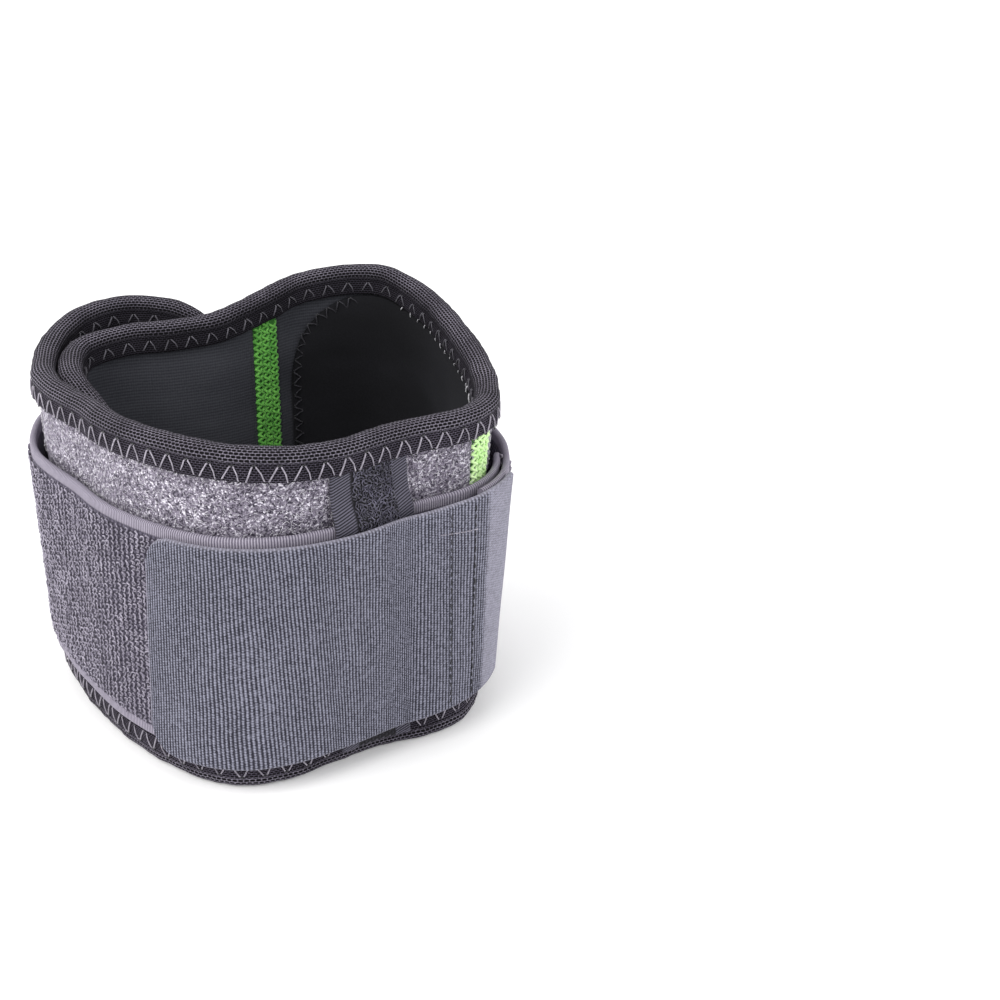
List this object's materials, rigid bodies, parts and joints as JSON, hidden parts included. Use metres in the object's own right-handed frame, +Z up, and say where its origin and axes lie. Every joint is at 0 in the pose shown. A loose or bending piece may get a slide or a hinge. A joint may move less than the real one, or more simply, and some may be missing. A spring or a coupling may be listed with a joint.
{
  "type": "tennis elbow strap",
  "caption": "Padded knit elbow strap rolled into a ring, edge-bound and zigzag stitched, closed round its middle by a wide loop tape and hook tail under a keeper loop.",
  "frame": {"origin": "on the surface it stands on, under the middle of the whole object's box", "axes": "+Z up along the forearm opening, -Y towards the side where the hook tail closes, +X to the right as the hook tail is faced"},
  "size_m": [0.1082, 0.1106, 0.0857],
  "materials": {
    "cloth": "brushed lilac-grey loop cloth on foam",
    "lining": "dark grey smooth knit",
    "seam": "bright green open flat seam",
    "pad": "near-black matte knit over a thin cushion",
    "binding": "dark grey-violet ribbed elastic mesh tape",
    "loop_tape": "grey-lilac waffle loop tape",
    "keeper": "dark grey looped elastic",
    "hook_tape": "blue-grey fine vertical ribs"
  },
  "bodies": {
    "root": {"panel_inner_end": "cloth", "panel_middle": "cloth", "panel_outer_end": "cloth", "lining_inner_end": "lining", "lining_middle": "lining", "lining_outer_end": "lining", "seam_back": "seam", "seam_front": "seam", "elbow_pad": "pad", "edge_binding": "binding", "loop_strap": "loop_tape", "keeper_loop": "keeper", "hook_tail": "hook_tape"}
  },
  "joints": []
}
